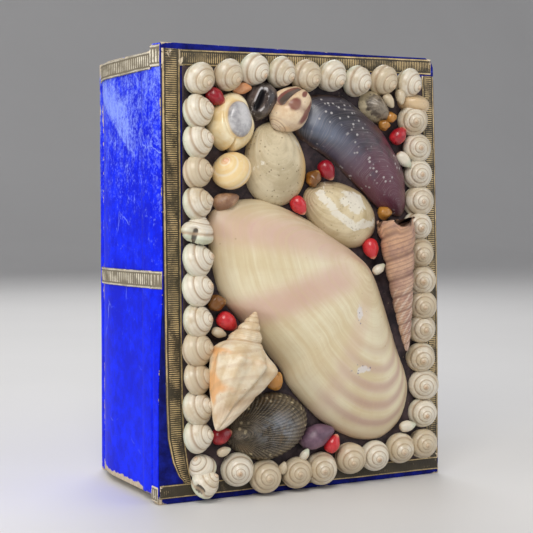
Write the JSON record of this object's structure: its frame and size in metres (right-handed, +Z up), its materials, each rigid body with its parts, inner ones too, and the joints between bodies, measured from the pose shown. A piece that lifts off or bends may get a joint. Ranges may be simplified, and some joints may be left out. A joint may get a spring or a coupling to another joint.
{
  "type": "book-form shellwork box",
  "caption": "Pasteboard trinket box in the shape of a standing book; its front cover is a hinged lid set with seashells and seeds.",
  "frame": {"origin": "centre of the footprint, on the surface that the box stands on", "axes": "+Z up towards the head, -Y out of the shell-covered lid, -X towards the spine"},
  "size_m": [0.134, 0.1076, 0.18],
  "materials": {
    "blue_paper": "glazed, scuffed",
    "navy_paper": "glazed",
    "cream_board": "matte",
    "lining_paper": "matte",
    "tarnished_gilt": "embossed metallic, worn",
    "silver_gilt": "embossed metallic, worn",
    "putty": "rough",
    "pearl_shell": "satin nacre",
    "clam_shell": "satin",
    "mussel_shell": "gloss",
    "chalky_shell": "matte",
    "cowrie_shell": "gloss",
    "snail_shell": "gloss",
    "grey_shell": "gloss",
    "striped_shell": "gloss",
    "turret_shell": "satin",
    "conch_shell": "satin",
    "ribbed_shell": "satin",
    "purple_shell": "satin",
    "red_seed": "gloss lacquer",
    "amber_seed": "gloss"
  },
  "bodies": {
    "case": {"rear_board": "blue_paper", "spine_cover": "blue_paper", "head_wall": "cream_board", "tail_wall": "cream_board", "fore_edge_wall": "cream_board", "spine_inner_wall": "cream_board", "front_rail": "cream_board", "tray_lining": "lining_paper", "inner_hinge_case": "navy_paper", "outer_hinge_case": "blue_paper", "spine_head_band": "silver_gilt", "spine_middle_band": "silver_gilt"},
    "lid": {"lid_board": "navy_paper", "lid_lining": "lining_paper", "inner_hinge_lid": "navy_paper", "outer_hinge_lid": "blue_paper", "trim_left": "tarnished_gilt", "trim_top": "tarnished_gilt", "trim_right": "tarnished_gilt", "trim_bottom": "tarnished_gilt", "lid_band_head": "silver_gilt", "lid_band_middle": "silver_gilt", "lid_band_tail": "silver_gilt", "glue_bed": "putty", "row_top": "pearl_shell", "row_left": "pearl_shell", "row_right": "pearl_shell", "row_bottom": "pearl_shell", "conch": "conch_shell", "turret_shell": "turret_shell", "striped_shell": "striped_shell", "large_clam": "clam_shell", "mussel": "mussel_shell", "cream_clam_upper": "chalky_shell", "cream_clam_lower": "chalky_shell", "money_cowrie": "cowrie_shell", "moon_snail": "snail_shell", "grey_broken_shell": "grey_shell", "limpet": "grey_shell", "olive_shell": "chalky_shell", "ribbed_shell": "ribbed_shell", "purple_fragment": "purple_shell", "brown_ribbed_shell": "turret_shell", "orange_fragment": "conch_shell", "red_seed_1": "red_seed", "red_seed_2": "red_seed", "red_seed_3": "red_seed", "red_seed_4": "red_seed", "red_seed_5": "red_seed", "red_seed_6": "red_seed", "red_seed_7": "red_seed", "red_seed_8": "red_seed", "amber_seed_1": "amber_seed", "amber_seed_2": "amber_seed", "amber_seed_3": "amber_seed", "amber_seed_4": "amber_seed", "amber_seed_5": "amber_seed", "amber_seed_6": "amber_seed"}
  },
  "joints": [
    {"name": "lid_hinge", "type": "hinge", "parent": "case", "child": "lid", "pos_m": [-0.067, -0.0184, 0.09], "axis": [0, 0, -1], "range_deg": [0, 150]}
  ]
}
